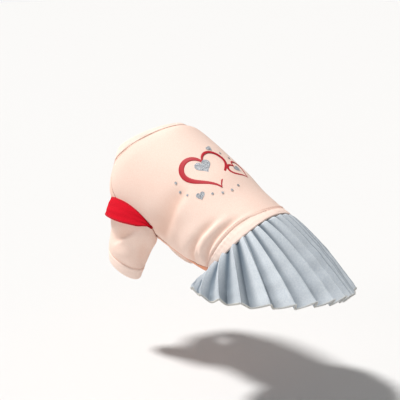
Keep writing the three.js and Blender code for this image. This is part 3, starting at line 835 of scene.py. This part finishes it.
threadTree, loopTree = stitchTree(False), stitchTree(True)


def sew(name, lines, pitch, thread, reach, finish, tree=None):
    # lines is a list of (points, closed); every line's threads end up in one piece
    points, faces, start = [], [], 0
    for line, closed in lines:
        path = pathObject(name + "Path", line, closed)
        nodes = path.modifiers.new("stitches", "NODES")
        nodes.node_group = tree or threadTree
        given = {"Pitch": pitch / 1000, "Thread": thread / 1000, "Reach": reach / 1000, "Finish": finish}
        for item in nodes.node_group.interface.items_tree:
            if item.in_out == "INPUT" and item.name in given:
                nodes[item.identifier] = given[item.name]
        mesh = bpy.data.meshes.new_from_object(path.evaluated_get(bpy.context.evaluated_depsgraph_get()))
        bpy.data.objects.remove(path)
        where = np.empty(len(mesh.vertices) * 3)
        mesh.vertices.foreach_get("co", where)
        points.append(where.reshape(-1, 3))
        faces += [[i + start for i in face.vertices] for face in mesh.polygons]
        start += len(mesh.vertices)
    return finishMesh(name, np.concatenate(points), faces, finish, crease=60)


stitch = {
    "waist": (0.010, 0.024), "neck": 0.010,  # how far beyond the band, as a share of the top's length
    "cuff": 1.6, "stand": 0.15, "seamSink": -0.75, "round": 240, "cuffRound": 150, "seam": 200,
}
roundTop = np.linspace(0, 360, stitch["round"], endpoint=False)
waistLines = [(topPoint(bandEdge(roundTop) + beyond, roundTop, stitch["stand"]), True) for beyond in stitch["waist"]]
neckLines = [(topPoint(neckEdge - stitch["neck"], roundTop, stitch["stand"]), True)]
waistStitches = sew("waistStitches", waistLines, 3.2, 0.22, 1.15, pinkThread)
neckStitches = sew("neckStitches", neckLines, 3.0, 0.2, 1.1, pinkThread)
cuffTurns = np.linspace(-180, 180, stitch["cuffRound"], endpoint=False)


def cuffLine(side):
    at = 1 - (sleeve["band"] + stitch["cuff"]) / sleeve["length"]
    return sleevePoint(side, at, cuffTurns, 0.12 + sleeveFolds(at, cuffTurns))


cuffStitches = sew("cuffStitches", [(cuffLine(side), True) for side in (1, -1)], 3.0, 0.22, 1.1, pinkThread)
# brown lines along the side seams and armholes: the seams, coloured dark as painted shade in their grooves
seamAt = np.linspace(0.058, neckEdge - 0.004, stitch["seam"])
seamLines = [(topPoint(seamAt, side * sideSeam(seamAt), stitch["seamSink"]), False) for side in (1, -1)]
armholes = [(sleevePoint(side, armholeAt(side, cuffTurns, 0.0, 0.0), cuffTurns, 0.1), True) for side in (1, -1)]
seamShadeThreads = sew("seamShadeThreads", seamLines + armholes, 1.6, 0.22, 0.9, seamShadeThread)
# dark red threads along both edges of each wing: a seam at the sewn edge, and painted shadow along the free edge
wingSeamAndShadowLines = [(grid[row], False) for grid in (leftWingGrid, rightWingGrid) for row in (1, -2)]
wingSeamAndShadow = sew("wingSeamAndShadow", wingSeamAndShadowLines, 1.5, 0.2, 0.85, darkRedThread)
hemLoops = sew("hemOverlock", [(skirtPoints[-1], False)], 1.2, 0.28, 0.95, greyThread, loopTree)
print("stitches ready")


# The print: brush-drawn hearts with glitter hearts and dots, on the middle of the back
badge = {
    "at": 0.5, "degrees": 20, "scale": 1.6, "degreesPerMm": 0.95, "dot": 0.9,
    # x towards the left, y towards the neck, in mm before the scale
    "hearts": [
        {"x": 3, "y": 0, "size": 34, "tilt": 8, "left": 3.6, "right": 2.2},
        {"x": -19, "y": -9, "size": 17, "tilt": -22, "left": 1.8, "right": 1.2},
    ],
    "glitter": [
        {"x": 4, "y": 3, "size": 12, "tilt": 8}, {"x": -19, "y": -8.5, "size": 6, "tilt": -22},
        {"x": 21, "y": -12, "size": 6.5, "tilt": 26}, {"x": -12, "y": 14, "size": 5, "tilt": -14},
    ],
    "dots": table(
        "x y",
        (27, -4), (29, 2), (14, -17), (8, -21), (1, -23), (-6, -22), (26, 8), (-18, 8), (-23, 3),
    ),
}


def onBack(flat, outward):  # x mm towards the left and y mm towards the neck
    at = badge["at"] + flat[..., 1] * badge["scale"] / top["length"]
    degrees = badge["degrees"] + flat[..., 0] * badge["scale"] * badge["degreesPerMm"]
    return topPoint(at, degrees, outward)


def heartLine(size, tilt=0, turns=(0, 2 * math.pi), count=60):  # the notch is at nought, the tip at half a turn
    t = np.linspace(*turns, count)
    x = 16 * np.sin(t) ** 3
    y = 13 * np.cos(t) - 5 * np.cos(2 * t) - 2 * np.cos(3 * t) - np.cos(4 * t)
    c, s = math.cos(math.radians(tilt)), math.sin(math.radians(tilt))
    return np.stack([x * c - y * s, x * s + y * c], axis=1) * size / 32


def brushStroke(line, wide):  # a ribbon of print, thick in the middle of the stroke and thin at its ends
    along = np.linspace(0, 1, len(line))
    tangent = unit(np.gradient(line, axis=0))
    side = np.stack([-tangent[:, 1], tangent[:, 0]], axis=1)
    width = wide * (0.12 + 0.88 * np.sin(np.pi * along ** 0.75) ** 1.2)
    across = np.linspace(-1, 1, 5)
    return line[:, None, :] + side[:, None, :] * (across[None, :] * width[:, None] / 2)[..., None]


def joinPieces(name, parts):
    first = parts[0]
    with bpy.context.temp_override(active_object=first, selected_editable_objects=parts):
        bpy.ops.object.join()
    first.name = first.data.name = name
    return first


def middleOf(row):
    return np.array([row["x"], row["y"]])


def filledShapes(name, outlines, finish):  # thin discs of film inside closed outlines
    points, faces, start = [], [], 0
    rings = np.array([0.02, 0.4, 0.7, 1.0])[None, :, None]  # from the middle of a shape to its edge
    for outline, centre in outlines:
        flat = centre + outline[:, None, :] * rings
        low, high = onBack(flat, 0.1), onBack(flat, 0.34)
        count, depth = flat.shape[:2]
        above = np.arange(count * depth).reshape(count, depth) + start
        under = above + count * depth
        for i in range(count):
            j = (i + 1) % count
            for k in range(depth - 1):
                faces.append([above[i, k], above[i, k + 1], above[j, k + 1], above[j, k]])
                faces.append([under[j, k], under[j, k + 1], under[i, k + 1], under[i, k]])
            faces.append([above[i, -1], under[i, -1], under[j, -1], above[j, -1]])
        faces += [list(above[::-1, 0]), list(under[:, 0])]
        points += [high.reshape(-1, 3), low.reshape(-1, 3)]
        start += 2 * count * depth
    faces = [[int(i) for i in face] for face in faces]
    piece = finishMesh(name, toFrame(np.concatenate(points)), faces, finish)
    tidyMesh(piece)
    return piece


strokes = []
for heart in badge["hearts"]:
    for turns, wide in (((0.1, 3.12), heart["left"]), ((6.18, 3.15), heart["right"])):
        flat = brushStroke(heartLine(heart["size"], heart["tilt"], turns) + middleOf(heart), wide)
        strokes.append(clothPiece("stroke", onBack(flat, 0.3), 0.22, redFilm))
redHearts = joinPieces("redHearts", strokes)
angles = np.linspace(0, 6.283, 14)[:-1]
circle = np.stack([np.cos(angles), np.sin(angles)], axis=1) * badge["dot"]
shapes = [(heartLine(heart["size"], heart["tilt"])[:-1], middleOf(heart)) for heart in badge["glitter"]]
shapes += [(circle, middleOf(dot)) for dot in badge["dots"]]
silverHearts = filledShapes("silverHearts", shapes, silverFilm)
print("print ready")

# Each piece rides on the one body and takes the place of its solid if it has one; a colour slot name is listed beside
# it
pieces = {
    backPanel: (["back_panel"], "jersey"), bellyPanel: (["belly_panel"], "jersey"),
    neckBand: (["neck_band"], "jersey"), waistBand: (["waist_band"], "jersey"),
    sleeveLeft: (["sleeve_left"], "jersey"), sleeveRight: (["sleeve_right"], "jersey"),
    cuffLeft: (["cuff_left"], "jersey"), cuffRight: (["cuff_right"], "jersey"),
    wingLeft: (["shoulder_wing_left"], "wing"), wingRight: (["shoulder_wing_right"], "wing"),
    pleatedSkirt: (["skirt"], "skirt"), waistStitches: ([], "jersey"), neckStitches: ([], "jersey"),
    cuffStitches: ([], "jersey"), seamShadeThreads: ([], "jersey"), wingSeamAndShadow: ([], "wing"),
    hemLoops: ([], "skirt"), redHearts: ([], "wing"), silverHearts: ([], "skirt"),
}
for piece, (nodes, slot) in pieces.items():
    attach(piece, "root")
    if nodes:
        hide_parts(*nodes)
# Floor, light and camera, in metres; aim is where the camera looks, right of the waist and above it, in mm
studio = {
    "azimuth": 133, "elevation": 16, "distance": 1.3, "across": 0.4706, "aim": (-60.0, 49.4),
    "floor": -0.262, "floorHalf": 6, "lampDistance": 2.2, "glow": (0.28, 0.93),
}

half, corners = studio["floorHalf"], ((-1, -1), (1, -1), (1, 1), (-1, 1))
floorMesh = bpy.data.meshes.new("floor")
floorMesh.from_pydata([(x * half, y * half, studio["floor"]) for x, y in corners], [], [(0, 1, 2, 3)])
floorLook = Finish("floorPaper")
floorMesh.materials.append(floorLook.done((0.74, 0.74, 0.74, 1), floorLook.noise(3) * 0.05 + 0.9, specular=0.1))
floor = addItem("floor", floorMesh)

azimuth, elevation = math.radians(studio["azimuth"]), math.radians(studio["elevation"])
east, north, level, lift = math.cos(azimuth), math.sin(azimuth), math.cos(elevation), math.sin(elevation)
rightWay, upWay = Vector((east, north, 0)), Vector((-north * lift, east * lift, level))
backWay = Vector((north * level, -east * level, lift))
waist = Vector(toFrame(np.zeros(3)).tolist())
aim = waist + rightWay * studio["aim"][0] / 1000 + upWay * studio["aim"][1] / 1000
camera = addItem("camera", bpy.data.cameras.new("camera"))
camera.location = waist + backWay * studio["distance"]
sight = aim - camera.location
camera.rotation_euler = sight.to_track_quat("-Z", "Y").to_euler()
camera.data.angle = 2 * math.atan(studio["across"] / 2 / sight.length)
bpy.context.scene.camera = camera


def sunLamp(name, way, power, size, colour):
    # way is how far right of the camera, above it and towards it the lamp stands
    lamp = addItem(name, bpy.data.lights.new(name, "SUN"))
    direction = (rightWay * way[0] + upWay * way[1] + backWay * way[2]).normalized()
    lamp.location = direction * studio["lampDistance"]
    lamp.rotation_euler = direction.to_track_quat("Z", "Y").to_euler()
    lamp.data.energy, lamp.data.color, lamp.data.angle = power, colour, math.radians(size)


sunLamp("key", (-0.42, 0.86, 0.2), 3.5, 10, (1.0, 0.985, 0.965))
sunLamp("fill", (-0.8, 0.08, 0.5), 0.55, 40, (1.0, 0.97, 0.94))

world = bpy.data.worlds.new("room")
world.use_nodes = True
tree = world.node_tree
wall, seen, glow = tree.nodes["Background"], tree.nodes.new("ShaderNodeLightPath"), tree.nodes.new("ShaderNodeMapRange")
wall.inputs["Color"].default_value = (1, 1, 1, 1)
for end, strength in zip(("To Min", "To Max"), studio["glow"]):  # soft on the cloth, pale behind it
    glow.inputs[end].default_value = strength
tree.links.new(seen.outputs["Is Camera Ray"], glow.inputs["Value"])
tree.links.new(glow.outputs["Result"], wall.inputs["Strength"])
bpy.context.scene.world = world
bpy.context.scene.view_settings.view_transform = "Standard"  # plain colours, as in a catalogue picture
